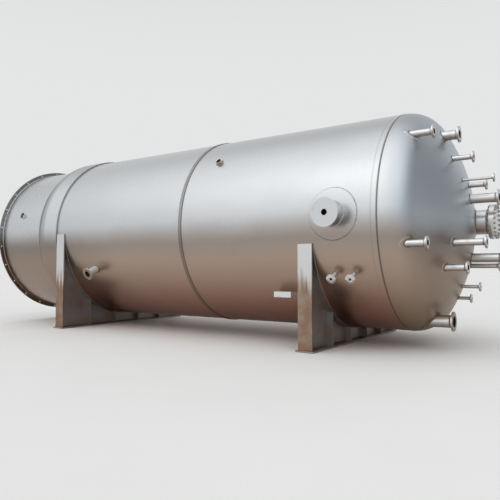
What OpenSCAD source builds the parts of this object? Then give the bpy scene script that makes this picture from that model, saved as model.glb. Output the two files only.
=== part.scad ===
// Stainless steel pressure vessel with a support skirt, lying on two transport saddles.
// +X points to the nozzle head, +Z is up, and the saddles stand on z = 0.
// Places along the vessel are measured from the seam of the nozzle head, minus to the skirt.

/* [Shell] */
// Outside diameter of the shell courses
shell_od = 4000; // [3600:10:4600]
// Plate thickness of the shell courses
shell_t = 20; // [10:1:40]
// Length of the course beside the nozzle head
front_course_len = 4110; // [3000:10:6000]
// Length of the course beside the skirt
rear_course_len = 3960; // [3000:10:6000]
// Width of the girth ring over the middle seam
girth_ring_w = 70; // [40:1:150]
// Height of the girth ring above the shell
girth_ring_h = 14; // [6:1:40]
// Gap that the weld metal fills where pieces seat on curved faces
weld_gap = 0.3; // [0.2:0.05:0.8]

/* [Nozzle head] */
// Plate thickness of the nozzle head
head_t = 22; // [12:1:40]
// Outside radius of the nozzle head's knuckle
head_knuckle_r = 560; // [400:10:700]
// Outside radius of the nozzle head's crown
head_crown_r = 3300; // [3000:10:4200]
// Distance of the upper outer nozzle from the shell's outside
upper_inset = 135; // [125:1:260]
// Distance of the side outer nozzle from the shell's outside
side_inset = 180; // [125:1:260]
// Distance of the drain nozzle from the shell's outside
drain_inset = 185; // [175:1:300]
// Thickness of the reinforcing pads round the large head nozzles
pad_t = 12; // [6:1:25]
// Width of a reinforcing pad outside its nozzle
pad_w = 32; // [25:1:80]

/* [Head nozzles] */
// Upper outer nozzle: angle from the top, nominal bore, projection
upper_outer = [43.6, 100, 340]; // [-180:0.1:600]
// Side outer nozzle: angle from the top, nominal bore, projection
side_outer = [104.8, 100, 305]; // [-180:0.1:600]
// Drain nozzle: angle from the top, nominal bore, projection
drain = [166.4, 200, 340]; // [-180:0.1:600]
// Top nozzle: across, up, nominal bore, projection
top_nozzle_at = [-316, 1480, 150, 270]; // [-1800:1:1800]
// High nozzle: across, up, nominal bore, projection
high_nozzle_at = [-416, 1042, 80, 345]; // [-1800:1:1800]
// Thermowell nozzle: across, up, nominal bore, projection
thermowell_at = [-244, 682, 40, 515]; // [-1800:1:1800]
// Vent nozzle: across, up, nominal bore, projection
vent_at = [144, 636, 80, 305]; // [-1800:1:1800]
// Vapour nozzle: across, up, nominal bore, projection
vapour_at = [84, 382, 150, 470]; // [-1800:1:1800]
// Near nozzle: across, up, nominal bore, projection
near_at = [-764, -426, 100, 515]; // [-1800:1:1800]
// Near low nozzle: across, up, nominal bore, projection
near_low_at = [-872, -840, 100, 360]; // [-1800:1:1800]
// Far nozzle: across, up, nominal bore, projection
far_at = [388, -663, 150, 535]; // [-1800:1:1800]
// Far low nozzle: across, up, nominal bore, projection
far_low_at = [600, -805, 80, 515]; // [-1800:1:1800]
// Low nozzle: across, up, nominal bore, projection
low_at = [176, -1180, 50, 325]; // [-1800:1:1800]
// Bottom nozzle: across, up, nominal bore, projection
bottom_at = [400, -1400, 50, 240]; // [-1800:1:1800]
// Manway: across, up, nominal bore, projection
manway_at = [600, 0, 450, 320]; // [-1800:1:1800]
// Thickness of the manway's blind cover
cover_t = 44; // [20:1:80]

/* [Skirt end] */
// Height of the skirt head's side above the shell
band_step = 32; // [25:1:80]
// Width of the ring that closes the step between shell and skirt head
step_ring_w = 30; // [15:1:80]
// Length of the skirt head's straight side
band_len = 540; // [200:10:900]
// Plate thickness of the skirt head
skirt_head_t = 24; // [12:1:24]
// Outside radius of the skirt head's knuckle
skirt_knuckle_r = 400; // [300:10:600]
// Outside radius of the skirt head's crown
skirt_crown_r = 4000; // [3500:10:5000]
// Distance from the shell's outside in to the skirt's outside
skirt_inset = 100; // [70:1:160]
// Plate thickness of the skirt
skirt_t = 16; // [10:1:30]
// Length of the skirt and its base ring from the skirt head's straight side
skirt_len = 1960; // [1200:10:3000]
// Thickness of the skirt's base ring
base_ring_t = 36; // [20:1:80]
// Width of the base ring outside the skirt
base_ring_out = 94; // [60:1:150]
// Width of the base ring inside the skirt
base_ring_in = 90; // [40:1:200]
// Number of anchor bolt holes in the base ring
anchor_count = 24; // [12:4:36]
// Diameter of the anchor bolt holes
anchor_d = 42; // [20:1:50]
// Distance of the skirt vent from the base ring
vent_from_ring = 860; // [400:10:1200]
// Angle of the skirt vent above the horizontal
vent_angle = 16; // [0:1:60]
// Outside diameter of the skirt vent sleeve
vent_od = 168.3; // [60:0.1:250]
// Wall thickness of the skirt vent sleeve
vent_wall = 7; // [4:0.5:15]
// Length of the skirt vent sleeve outside the skirt
vent_out = 45; // [20:1:100]

/* [Shell fittings] */
// Place of the trunnions from the nozzle head's seam
trunnion_from_seam = 760; // [600:10:1500]
// Height of the trunnions above the vessel's axis
trunnion_rise = 45; // [0:1:200]
// Reach of the trunnions beyond the shell
trunnion_reach = 300; // [200:10:500]
// Outside diameter of the trunnion pipes
trunnion_od = 406.4; // [300:0.1:500]
// Wall thickness of the trunnion pipes
trunnion_wall = 14; // [8:1:30]
// Diameter of the trunnion end plates
trunnion_plate_d = 480; // [420:1:560]
// Thickness of the trunnion end plates
trunnion_plate_t = 25; // [12:1:50]
// Diameter of the hole in a trunnion end plate
trunnion_hole_d = 104; // [60:1:200]
// Radius of the trunnions' reinforcing pads
trunnion_pad_r = 430; // [300:10:550]
// Thickness of the trunnions' reinforcing pads
trunnion_pad_t = 20; // [8:1:40]
// Place of the side nozzle from the skirt head's seam
side_nozzle_from_seam = 1220; // [900:10:2000]
// Side nozzle: angle below the horizontal, nominal bore, projection
side_nozzle_at = [25.5, 150, 280]; // [0:0.5:500]
// Place of the first gauge nozzle from the nozzle head's seam
gauge_from_seam = 480; // [400:10:1000]
// Distance between the two gauge nozzles
gauge_pitch = 340; // [240:5:600]
// Gauge nozzles: angle below the horizontal, nominal bore, projection
gauge_at = [28, 50, 200]; // [0:0.5:500]
// Middle of the platform cleat from the nozzle head's seam
cleat_from_seam = 1865; // [1700:5:3000]
// Length of the platform cleat
cleat_len = 350; // [200:5:800]
// Reach of the platform cleat's flat leg from the shell
cleat_reach = 215; // [80:5:300]
// Height of the platform cleat's face
cleat_face_h = 100; // [40:5:200]
// Thickness of the platform cleat
cleat_t = 16; // [8:1:40]
// Angle of the platform cleat's root below the horizontal
cleat_angle = 39.4; // [20:0.1:60]
// Place of the shell coupling from the nozzle head's seam
coupling_from_seam = 3440; // [2400:10:3900]
// Angle of the shell coupling above the horizontal
coupling_angle = 39; // [10:1:80]
// Outside diameter of the shell coupling
coupling_od = 140; // [60:1:200]
// Wall thickness of the shell coupling
coupling_wall = 20; // [8:1:28]
// Height of the shell coupling above the shell
coupling_out = 60; // [30:1:120]

/* [Saddles] */
// Place of the front saddle from the nozzle head's seam
front_saddle_from_seam = 1290; // [1200:10:2000]
// Place of the rear saddle from the skirt head's seam
rear_saddle_from_seam = 170; // [160:5:600]
// Angle of the shell that the front saddle wraps
front_wrap = 155; // [120:1:160]
// Angle of the shell that the rear saddle wraps
rear_wrap = 178; // [120:1:180]
// Height of a saddle's web under the lowest point of its cradle
web_depth = 226.7; // [150:0.1:900]
// Width of the saddles along the vessel
saddle_w = 270; // [200:5:320]
// Thickness of the curved cradle plates
cradle_t = 16; // [8:1:30]
// Thickness of the saddle webs
web_t = 20; // [10:1:40]
// Width of the tips of a web, between cradle and end plate
web_tip = 12; // [5:1:60]
// Thickness of the saddle end plates
end_plate_t = 25; // [12:1:40]
// Thickness of the saddle ribs
rib_t = 16; // [8:1:30]
// Number of rib pairs on each saddle
rib_count = 4; // [2:1:6]
// Thickness of the saddle base plates
base_plate_t = 30; // [15:1:60]
// Margin of a base plate round the saddle
base_margin = 35; // [20:1:100]
// Diameter of the anchor bolt holes in the base plates
saddle_hole_d = 33; // [18:1:50]
// Distance of those holes from the end plates
saddle_hole_in = 240; // [120:5:400]

/* [Hidden] */
$fn = 64;
big_fn = 360;
eps = 1;
// Weld necks: length in flange thicknesses, radius at the flange in pipe radii
neck_len_ratio = 1.6;
neck_r_ratio = 1.22;
shell_r = shell_od / 2;
shell_in_r = shell_r - shell_t;
front_seam = 0;
middle_seam = -front_course_len;
rear_seam = -front_course_len - rear_course_len;
band_r = shell_r + band_step;
band_start = rear_seam - step_ring_w;
band_end = band_start - band_len;
skirt_r = shell_r - skirt_inset;
skirt_end = band_end - skirt_len;
base_ring_r = skirt_r + base_ring_out;
base_ring_bore_r = skirt_r - skirt_t - base_ring_in;
anchor_pcd = 2 * skirt_r + base_ring_out;
cradle_in_r = shell_r + weld_gap;
cradle_out_r = cradle_in_r + cradle_t;
axis_h = base_plate_t + web_depth + cradle_out_r;
front_saddle_x = front_seam - front_saddle_from_seam;
rear_saddle_x = rear_seam + rear_saddle_from_seam;
trunnion_x = front_seam - trunnion_from_seam;
trunnion_end = shell_r + trunnion_reach;
pad_seat_r = shell_r + weld_gap + trunnion_pad_t + weld_gap;

// Flanges by nominal bore: bore, pipe outside, pipe wall, flange outside, thickness, bolt circle, bolts, hole
FLANGES = [
    [40, 48.3, 5, 150, 18, 110, 4, 18],
    [50, 60.3, 5.5, 165, 18, 125, 4, 18],
    [80, 88.9, 7.6, 200, 20, 160, 8, 18],
    [100, 114.3, 8.6, 220, 20, 180, 8, 18],
    [150, 168.3, 11, 285, 22, 240, 8, 22],
    [200, 219.1, 12.7, 340, 24, 295, 12, 22],
    [450, 457, 14, 640, 40, 585, 20, 30]
];
function flange(dn) = FLANGES[search(dn, FLANGES)[0]];
function pipe_r(dn) = flange(dn)[1] / 2;
function bore_r(dn) = pipe_r(dn) - flange(dn)[2];
function flange_r(dn) = flange(dn)[3] / 2;
function flange_t(dn) = flange(dn)[4];

// Dished head: reach of its outside along the axis, at a radius from the axis
function crown_drop(r, knuckle, crown) = sqrt(pow(crown - knuckle, 2) - pow(r - knuckle, 2));
function blend_angle(r, knuckle, crown) = asin((r - knuckle) / (crown - knuckle));
function head_reach(at, r, knuckle, crown) =
    at > crown * sin(blend_angle(r, knuckle, crown))
    ? sqrt(max(0, pow(knuckle, 2) - pow(at - (r - knuckle), 2)))
    : sqrt(pow(crown, 2) - pow(at, 2)) - crown_drop(r, knuckle, crown);
function nozzle_head_x(y, z) = head_reach(norm([y, z]), shell_r, head_knuckle_r, head_crown_r);

// Head nozzles as across, up, nominal bore, projection
function on_row(spec, row_r) = [-row_r * sin(spec[0]), row_r * cos(spec[0]), spec[1], spec[2]];
upper_outer_at = on_row(upper_outer, shell_r - upper_inset);
side_outer_at = on_row(side_outer, shell_r - side_inset);
drain_at = on_row(drain, shell_r - drain_inset);
HEAD_NOZZLES = [
    upper_outer_at, side_outer_at, drain_at, top_nozzle_at, high_nozzle_at, thermowell_at, vent_at, vapour_at,
    near_at, near_low_at, far_at, far_low_at, low_at, bottom_at, manway_at
];
PADDED = [upper_outer_at, side_outer_at, drain_at, near_at, near_low_at, manway_at];
function face_x(at) = nozzle_head_x(at[0], at[1]) + at[3];
manway_end = face_x(manway_at) + cover_t;
nozzle_end = max(concat([for (at = HEAD_NOZZLES) face_x(at)], [manway_end]));
middle_x = (nozzle_end + skirt_end) / 2;

steel = "#c4c3bf";
bright_steel = "#d6d5d1";
plate_steel = "#a9a39a";

// Puts a piece drawn about the vessel's axis into the vessel's place
module place() {
    translate([-middle_x, 0, axis_h]) children();
}

// Stands children drawn along +Z along the vessel's axis at a station
module along_axis(x, y = 0, z = 0) {
    translate([x, y, z]) rotate([0, 90, 0]) children();
}

// Stands children drawn along +Z radially on the -Y side, from the axis
module radial(x, angle_below) {
    translate([x, 0, 0]) rotate([90 + angle_below, 0, 0]) children();
}

// Solid round bar along the axis between two stations
module axis_bar(r, x0, x1) {
    along_axis(x0) cylinder(r = r, h = x1 - x0, $fn = big_fn);
}

// Half profile of a dished head's outside, radius along x and reach along y
module dish_profile(r, knuckle, crown, side) {
    blend = blend_angle(r, knuckle, crown);
    drop = crown_drop(r, knuckle, crown);
    far = 2 * crown;
    intersection() {
        union() {
            intersection() {
                translate([0, -drop]) circle(r = crown, $fn = 4 * big_fn);
                translate([0, -drop]) polygon([[0, 0], [far * sin(blend), far * cos(blend)], [0, far]]);
            }
            translate([r - knuckle, 0]) circle(r = knuckle, $fn = big_fn);
        }
        square([2 * r, 2 * r]);
    }
    if (side > 0) {
        translate([0, -side]) square([r, side]);
    }
}

// Half section of a dished head's wall
module dish_wall(r, knuckle, crown, side, t) {
    difference() {
        dish_profile(r, knuckle, crown, side);
        dish_profile(r - t, knuckle - t, crown - t, side);
        if (side > 0) {
            translate([0, -side - eps]) square([r - t, 2 * eps]);
        } else {
            translate([0, -eps]) square([r - t, eps]);
        }
    }
}

// Flange with its weld neck and pipe, drawn along +Z from the inner end to the flange face
module flanged_pipe(dn, len) {
    row = flange(dn);
    neck = row[4] * neck_len_ratio;
    difference() {
        union() {
            cylinder(r = pipe_r(dn), h = len);
            translate([0, 0, len - row[4]]) cylinder(r = flange_r(dn), h = row[4]);
            translate([0, 0, len - row[4] - neck])
                cylinder(r1 = pipe_r(dn), r2 = pipe_r(dn) * neck_r_ratio, h = neck);
        }
        translate([0, 0, -eps]) cylinder(r = bore_r(dn), h = len + 2 * eps);
        bolt_holes(row[5], row[6], row[7], len - row[4] - eps, row[4] + 2 * eps);
    }
}

// Ring of bolt holes that straddles the centre lines
module bolt_holes(pcd, count, hole_d, z0, h) {
    for (i = [0 : count - 1]) {
        rotate((i + 0.5) * 360 / count) translate([pcd / 2, 0, z0]) cylinder(r = hole_d / 2, h = h);
    }
}

// Inner end of a head nozzle: behind the plate all round the pipe
function nozzle_start(at) =
    head_reach(norm([at[0], at[1]]) + pipe_r(at[2]), shell_r, head_knuckle_r, head_crown_r) - 2 * head_t;

module head_nozzle(at) {
    start = nozzle_start(at);
    color(bright_steel) place() along_axis(start, at[0], at[1]) flanged_pipe(at[2], face_x(at) - start);
}

module front_shell_course() {
    color(steel) place() difference() {
        axis_bar(shell_r, middle_seam, front_seam);
        axis_bar(shell_in_r, middle_seam - eps, front_seam + eps);
        for (i = [0, 1]) {
            gauge_bar(i, pipe_r(gauge_at[1]) + weld_gap);
        }
        coupling_bar(coupling_od / 2 - coupling_wall, shell_r + eps);
    }
}

module rear_shell_course() {
    color(steel) place() difference() {
        axis_bar(shell_r, rear_seam, middle_seam);
        axis_bar(shell_in_r, rear_seam - eps, middle_seam + eps);
        radial(rear_seam + side_nozzle_from_seam, side_nozzle_at[0])
            cylinder(r = pipe_r(side_nozzle_at[1]) + weld_gap, h = shell_r + eps);
    }
}

module girth_ring() {
    ring_in = shell_r + weld_gap;
    color(plate_steel) place() difference() {
        axis_bar(ring_in + girth_ring_h, middle_seam - girth_ring_w / 2, middle_seam + girth_ring_w / 2);
        axis_bar(ring_in, middle_seam - girth_ring_w, middle_seam + girth_ring_w);
    }
}

module nozzle_head() {
    color(steel) place() difference() {
        along_axis(front_seam) rotate_extrude($fn = big_fn) dish_wall(shell_r, head_knuckle_r, head_crown_r, 0, head_t);
        for (at = HEAD_NOZZLES) {
            along_axis(front_seam, at[0], at[1]) cylinder(r = pipe_r(at[2]) + weld_gap, h = 2 * shell_r);
        }
    }
}

// Collars of plate on the head round the large nozzles
module head_nozzle_pads() {
    grow = weld_gap + pad_t;
    color(steel) place() intersection() {
        along_axis(front_seam) rotate_extrude($fn = big_fn)
            dish_wall(shell_r + grow, head_knuckle_r + grow, head_crown_r + grow, 0, pad_t);
        for (at = PADDED) {
            along_axis(front_seam, at[0], at[1]) difference() {
                cylinder(r = pipe_r(at[2]) + pad_w, h = 2 * shell_r);
                translate([0, 0, -eps]) cylinder(r = pipe_r(at[2]) + weld_gap, h = 2 * shell_r + 2 * eps);
            }
        }
    }
}

module step_ring() {
    color(plate_steel) place() difference() {
        axis_bar(band_r, band_start, rear_seam);
        axis_bar(shell_in_r, band_start - eps, rear_seam + eps);
    }
}

module skirt_head() {
    color(steel) place() translate([band_end, 0, 0]) rotate([0, -90, 0]) rotate_extrude($fn = big_fn)
        dish_wall(band_r, skirt_knuckle_r, skirt_crown_r, band_len, skirt_head_t);
}

module skirt() {
    seat = weld_gap;
    color(steel) place() difference() {
        translate([band_end, 0, 0]) rotate([0, -90, 0]) rotate_extrude($fn = big_fn) difference() {
            translate([skirt_r - skirt_t, 0]) square([skirt_t, skirt_len - base_ring_t]);
            dish_profile(band_r + seat, skirt_knuckle_r + seat, skirt_crown_r + seat, 0);
        }
        vent_bar(vent_od / 2 + weld_gap);
    }
}

module skirt_base_ring() {
    color(plate_steel) place() along_axis(skirt_end) difference() {
        cylinder(r = base_ring_r, h = base_ring_t);
        translate([0, 0, -eps]) cylinder(r = base_ring_bore_r, h = base_ring_t + 2 * eps);
        bolt_holes(anchor_pcd, anchor_count, anchor_d, -eps, base_ring_t + 2 * eps);
    }
}

// Solid bar on the skirt vent's axis
module vent_bar(r) {
    radial(skirt_end + vent_from_ring, -vent_angle) cylinder(r = r, h = skirt_r + vent_out);
}

module skirt_vent() {
    color(bright_steel) place() difference() {
        vent_bar(vent_od / 2);
        radial(skirt_end + vent_from_ring, -vent_angle)
            cylinder(r = vent_od / 2 - vent_wall, h = skirt_r + vent_out + eps);
        axis_bar(skirt_r - 2 * skirt_t, skirt_end, band_end);
    }
}

module upper_outer_nozzle() { head_nozzle(upper_outer_at); }
module side_outer_nozzle() { head_nozzle(side_outer_at); }
module drain_nozzle() { head_nozzle(drain_at); }
module top_nozzle() { head_nozzle(top_nozzle_at); }
module high_nozzle() { head_nozzle(high_nozzle_at); }
module thermowell_nozzle() { head_nozzle(thermowell_at); }
module vent_nozzle() { head_nozzle(vent_at); }
module vapour_nozzle() { head_nozzle(vapour_at); }
module near_nozzle() { head_nozzle(near_at); }
module near_low_nozzle() { head_nozzle(near_low_at); }
module far_nozzle() { head_nozzle(far_at); }
module far_low_nozzle() { head_nozzle(far_low_at); }
module low_nozzle() { head_nozzle(low_at); }
module bottom_nozzle() { head_nozzle(bottom_at); }
module manway_neck() { head_nozzle(manway_at); }

module manway_cover() {
    row = flange(manway_at[2]);
    color(bright_steel) place() along_axis(face_x(manway_at), manway_at[0], manway_at[1]) difference() {
        cylinder(r = flange_r(manway_at[2]), h = cover_t);
        bolt_holes(row[5], row[6], row[7], -eps, cover_t + 2 * eps);
    }
}

// Flanged pipe that stands radially on the shell
module shell_nozzle(x, at) {
    start = shell_in_r - shell_t;
    radial(x, at[0]) translate([0, 0, start]) flanged_pipe(at[1], shell_r + at[2] - start);
}

module side_nozzle() {
    color(bright_steel) place() shell_nozzle(rear_seam + side_nozzle_from_seam, side_nozzle_at);
}

// Station of a gauge nozzle along the vessel
function gauge_x(i) = front_seam - gauge_from_seam - i * gauge_pitch;

module gauge_bar(i, r) {
    radial(gauge_x(i), gauge_at[0]) cylinder(r = r, h = shell_r + eps);
}

module gauge_nozzles() {
    color(bright_steel) place() for (i = [0, 1]) {
        shell_nozzle(gauge_x(i), gauge_at);
    }
}

module coupling_bar(r, len) {
    radial(front_seam - coupling_from_seam, -coupling_angle) cylinder(r = r, h = len);
}

module shell_coupling() {
    color(bright_steel) place() difference() {
        coupling_bar(coupling_od / 2, shell_r + coupling_out);
        coupling_bar(coupling_od / 2 - coupling_wall, shell_r + coupling_out + eps);
        axis_bar(shell_r + weld_gap, middle_seam, front_seam);
    }
}

// Angle whose flat leg stands on the shell and whose other leg hangs from its outer edge
module platform_cleat() {
    root = shell_r * cos(cleat_angle);
    face = root + cleat_reach;
    color(bright_steel) place() difference() {
        translate([front_seam - cleat_from_seam - cleat_len / 2, 0, -shell_r * sin(cleat_angle)])
            rotate([90, 0, 90]) linear_extrude(height = cleat_len)
            polygon([[-face, 0], [-face, -cleat_face_h], [cleat_t - face, -cleat_face_h],
                [cleat_t - face, -cleat_t], [shell_t - root, -cleat_t], [shell_t - root, 0]]);
        axis_bar(shell_r + weld_gap, rear_seam, front_seam);
    }
}

// Repeats a trunnion piece, drawn along +Z from the vessel's axis, on both sides
module both_trunnions() {
    for (side = [-1, 1]) {
        translate([trunnion_x, 0, trunnion_rise]) rotate([-side * 90, 0, 0]) children();
    }
}

module trunnion_pads() {
    color(steel) place() intersection() {
        difference() {
            axis_bar(shell_r + weld_gap + trunnion_pad_t, middle_seam, front_seam);
            axis_bar(shell_r + weld_gap, middle_seam - eps, front_seam + eps);
        }
        both_trunnions() translate([0, 0, shell_r / 2]) cylinder(r = trunnion_pad_r, h = shell_r);
    }
}

module trunnion_pipes() {
    color(steel) place() difference() {
        both_trunnions() translate([0, 0, shell_r / 2]) difference() {
            cylinder(r = trunnion_od / 2, h = trunnion_end - trunnion_plate_t - shell_r / 2);
            translate([0, 0, -eps]) cylinder(r = trunnion_od / 2 - trunnion_wall, h = trunnion_end);
        }
        axis_bar(pad_seat_r, middle_seam, front_seam);
    }
}

module trunnion_end_plates() {
    color(bright_steel) place() both_trunnions() translate([0, 0, trunnion_end - trunnion_plate_t]) difference() {
        cylinder(r = trunnion_plate_d / 2, h = trunnion_plate_t);
        translate([0, 0, -eps]) cylinder(r = trunnion_hole_d / 2, h = trunnion_plate_t + 2 * eps);
    }
}

// Outer face of a saddle's end plates, from the middle plane
function saddle_half(wrap) = cradle_out_r * sin(wrap / 2) + end_plate_t / 2;
// Top of a saddle's end plates, from the vessel's axis
function saddle_top(wrap) = -cradle_out_r * cos(wrap / 2);
// Half the length of a saddle's web
function web_half(wrap) = saddle_half(wrap) - end_plate_t;
// Top of a saddle's web, from the vessel's axis
function web_top(wrap) = -sqrt(pow(cradle_out_r + weld_gap, 2) - pow(web_half(wrap) - web_tip, 2));
base_top = base_plate_t - axis_h;

// Block of a saddle that is cut to the underside of its cradle
module scribed(x) {
    difference() {
        translate([x, 0, 0]) children();
        axis_bar(cradle_out_r + weld_gap, x - saddle_w, x + saddle_w);
    }
}

module saddle_base(x, wrap) {
    half = saddle_half(wrap) + base_margin;
    wide = saddle_w + 2 * base_margin;
    color(plate_steel) place() difference() {
        translate([x - wide / 2, -half, -axis_h]) cube([wide, 2 * half, base_plate_t]);
        for (sx = [-1, 1], sy = [-1, 1]) {
            translate([x + sx * saddle_w / 4, sy * (saddle_half(wrap) - saddle_hole_in), -axis_h - eps])
                cylinder(r = saddle_hole_d / 2, h = base_plate_t + 2 * eps);
        }
    }
}

module saddle_web(x, wrap) {
    half = web_half(wrap);
    color(plate_steel) place() scribed(x)
        translate([-web_t / 2, -half, base_top]) cube([web_t, 2 * half, web_top(wrap) - base_top]);
}

module saddle_ribs(x, wrap) {
    reach = (saddle_w - web_t) / 2;
    pitch = 2 * web_half(wrap) / (rib_count + 1);
    color(plate_steel) place() scribed(x) for (i = [0 : rib_count - 1], side = [-1, 1]) {
        rib_y = (i - (rib_count - 1) / 2) * pitch;
        translate([side * (web_t + reach) / 2 - reach / 2, rib_y - rib_t / 2, base_top])
            cube([reach, rib_t, web_top(wrap) - base_top]);
    }
}

module saddle_end_plates(x, wrap) {
    color(bright_steel) place() scribed(x) for (side = [-1, 1]) {
        translate([-saddle_w / 2, side * (saddle_half(wrap) - end_plate_t / 2) - end_plate_t / 2, base_top])
            cube([saddle_w, end_plate_t, saddle_top(wrap) - base_top]);
    }
}

module saddle_cradle(x, wrap) {
    far = 2 * cradle_out_r;
    color(plate_steel) place() translate([x - saddle_w / 2, 0, 0]) rotate([90, 0, 90])
        linear_extrude(height = saddle_w) intersection() {
            difference() {
                circle(r = cradle_out_r, $fn = big_fn);
                circle(r = cradle_in_r, $fn = big_fn);
            }
            polygon([[0, 0], [-far * sin(wrap / 2), -far * cos(wrap / 2)], [-far, -2 * far],
                [far, -2 * far], [far * sin(wrap / 2), -far * cos(wrap / 2)]]);
        }
}

module front_saddle_base() { saddle_base(front_saddle_x, front_wrap); }
module front_saddle_web() { saddle_web(front_saddle_x, front_wrap); }
module front_saddle_ribs() { saddle_ribs(front_saddle_x, front_wrap); }
module front_saddle_end_plates() { saddle_end_plates(front_saddle_x, front_wrap); }
module front_saddle_cradle() { saddle_cradle(front_saddle_x, front_wrap); }
module rear_saddle_base() { saddle_base(rear_saddle_x, rear_wrap); }
module rear_saddle_web() { saddle_web(rear_saddle_x, rear_wrap); }
module rear_saddle_ribs() { saddle_ribs(rear_saddle_x, rear_wrap); }
module rear_saddle_end_plates() { saddle_end_plates(rear_saddle_x, rear_wrap); }
module rear_saddle_cradle() { saddle_cradle(rear_saddle_x, rear_wrap); }

front_shell_course();
rear_shell_course();
girth_ring();
nozzle_head();
head_nozzle_pads();
step_ring();
skirt_head();
skirt();
skirt_base_ring();
skirt_vent();
upper_outer_nozzle();
side_outer_nozzle();
drain_nozzle();
top_nozzle();
high_nozzle();
thermowell_nozzle();
vent_nozzle();
vapour_nozzle();
near_nozzle();
near_low_nozzle();
far_nozzle();
far_low_nozzle();
low_nozzle();
bottom_nozzle();
manway_neck();
manway_cover();
side_nozzle();
gauge_nozzles();
shell_coupling();
platform_cleat();
trunnion_pads();
trunnion_pipes();
trunnion_end_plates();
front_saddle_base();
front_saddle_web();
front_saddle_ribs();
front_saddle_end_plates();
front_saddle_cradle();
rear_saddle_base();
rear_saddle_web();
rear_saddle_ribs();
rear_saddle_end_plates();
rear_saddle_cradle();
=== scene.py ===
"""Finishes the stainless steel pressure vessel: steel, welds, closures and a plain stage."""
import math

import bmesh
import bpy
from bpy.props import FloatProperty, FloatVectorProperty, IntProperty, PointerProperty
from mathutils import Matrix, Vector
from mathutils.bvhtree import BVHTree


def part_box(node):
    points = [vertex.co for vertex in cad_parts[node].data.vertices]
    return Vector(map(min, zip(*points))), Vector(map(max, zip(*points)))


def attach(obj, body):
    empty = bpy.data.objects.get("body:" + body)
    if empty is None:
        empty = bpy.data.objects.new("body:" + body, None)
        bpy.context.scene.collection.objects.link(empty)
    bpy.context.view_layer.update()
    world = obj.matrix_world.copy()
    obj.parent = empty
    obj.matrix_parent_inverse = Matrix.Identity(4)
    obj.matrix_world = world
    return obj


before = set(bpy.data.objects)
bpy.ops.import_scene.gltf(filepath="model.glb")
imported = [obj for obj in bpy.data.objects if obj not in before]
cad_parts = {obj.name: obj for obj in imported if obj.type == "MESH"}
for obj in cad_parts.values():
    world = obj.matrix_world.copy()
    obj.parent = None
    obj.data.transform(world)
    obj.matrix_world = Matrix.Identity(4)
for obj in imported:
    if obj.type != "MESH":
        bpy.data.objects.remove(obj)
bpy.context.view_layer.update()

bl_info = {
    "name": "Pressure vessel finisher",
    "version": (1, 0, 0),
    "blender": (4, 5, 0),
    "location": "View3D > Sidebar > Vessel",
    "description": "Adds finishes, welds, closures and a stage to a packed pressure vessel",
    "category": "Object",
}

BODY = "root"
AXIS = Vector((1, 0, 0))
ACROSS = Vector((0, 1, 0))
UP = Vector((0, 0, 1))
BLACK = (0.0, 0.0, 0.0)

# Main places of the vessel, read from the frame
FRONT_LOW, FRONT_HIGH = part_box("front_shell_course")
SHELL_R = (FRONT_HIGH.z - FRONT_LOW.z) / 2
AXIS_Z = (FRONT_HIGH.z + FRONT_LOW.z) / 2
ON_AXIS = Vector((0, 0, AXIS_Z))
FRONT_SEAM = FRONT_HIGH.x
SEAM_CENTRE = Vector((FRONT_SEAM, 0, AXIS_Z))
REAR_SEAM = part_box("rear_shell_course")[0].x

HEAD_NOZZLES = [
    "upper_outer_nozzle", "side_outer_nozzle", "drain_nozzle", "top_nozzle", "high_nozzle",
    "thermowell_nozzle", "vent_nozzle", "vapour_nozzle", "near_nozzle", "near_low_nozzle", "far_nozzle",
    "far_low_nozzle", "low_nozzle", "bottom_nozzle", "manway_neck",
]
PADDED_NOZZLES = [
    "upper_outer_nozzle", "side_outer_nozzle", "drain_nozzle", "near_nozzle", "near_low_nozzle",
    "manway_neck",
]
SHELL_PIPES = {"side_nozzle": 1, "gauge_nozzles": 2, "shell_coupling": 1}
# Flange faces coloured brown as a painted reflection of the ground
GROUND_REFLECTION_FACES = ["drain_nozzle", "side_nozzle"]
SADDLES = ["front_saddle", "rear_saddle"]

# Limits for reading sizes from meshes, in metres
TINY = 0.0005
FOOT_ZONE = 0.02
FACE_LIP = 0.004
MANWAY_LIP = 0.01
PAD_REACH = 0.1
RAY_REACH = 3 * SHELL_R

# How the film of dust and painted reflection of the brown ground lies: stretches along the vessel and
# heights in metres, and shares
DUST_AND_REFLECTION_WANDER = 0.09
HAZE_FULL, HAZE_END = 0.25, 0.6
EARTH_REFLECTION_TOP, EARTH_REFLECTION_FULL = AXIS_Z - 0.3 * SHELL_R, AXIS_Z - SHELL_R
HEAD_CROWN = (FRONT_SEAM + 0.2, FRONT_SEAM + 0.65)
# On the head's crown the film is darker, as painted shade
CROWN_LIFT, CROWN_SHADE_SHARE = 0.1, 0.7
REAR_DIM = (REAR_SEAM + 2.5, REAR_SEAM - 0.5)
REAR_DIM_SHARE = 0.26
RUN_HEIGHT = 0.4

# Where the plates change their tone, in metres, partly as painted highlight and painted shade
BAND_LENGTH = 0.54
BAND_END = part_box("step_ring")[0].x - BAND_LENGTH
# The straight band is brightened as a painted highlight, and its knuckle darkened as painted shade
BAND_KNUCKLE = (BAND_END + 0.14, BAND_END + 0.03)
DISH_KNUCKLE = (FRONT_SEAM + 0.08, FRONT_SEAM + 0.4)
# The top of the dish and of the band is darkened: painted shade
DISH_TOP_SHADE = (AXIS_Z + 0.5 * SHELL_R, AXIS_Z + 0.95 * SHELL_R)
GROUND_INNER, GROUND_OUTER = (0.085, 0.1), (0.125, 0.11)
SEAM_TINT = (0.03, 0.014)

# Heat tints, height of buckles against fine marks, a pipe's underside darkened with painted shade in radii,
# and what stains add
STRAW_TINT, BLUE_TINT = (0.22, 0.165, 0.11), (0.12, 0.13, 0.17)
SHELL_BUCKLES, HEAD_BUCKLES = 60.0, 30.0
UNDERSIDE_START, UNDERSIDE_FULL = -0.2, 0.8
STAIN_ROUGHNESS = 0.16

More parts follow.
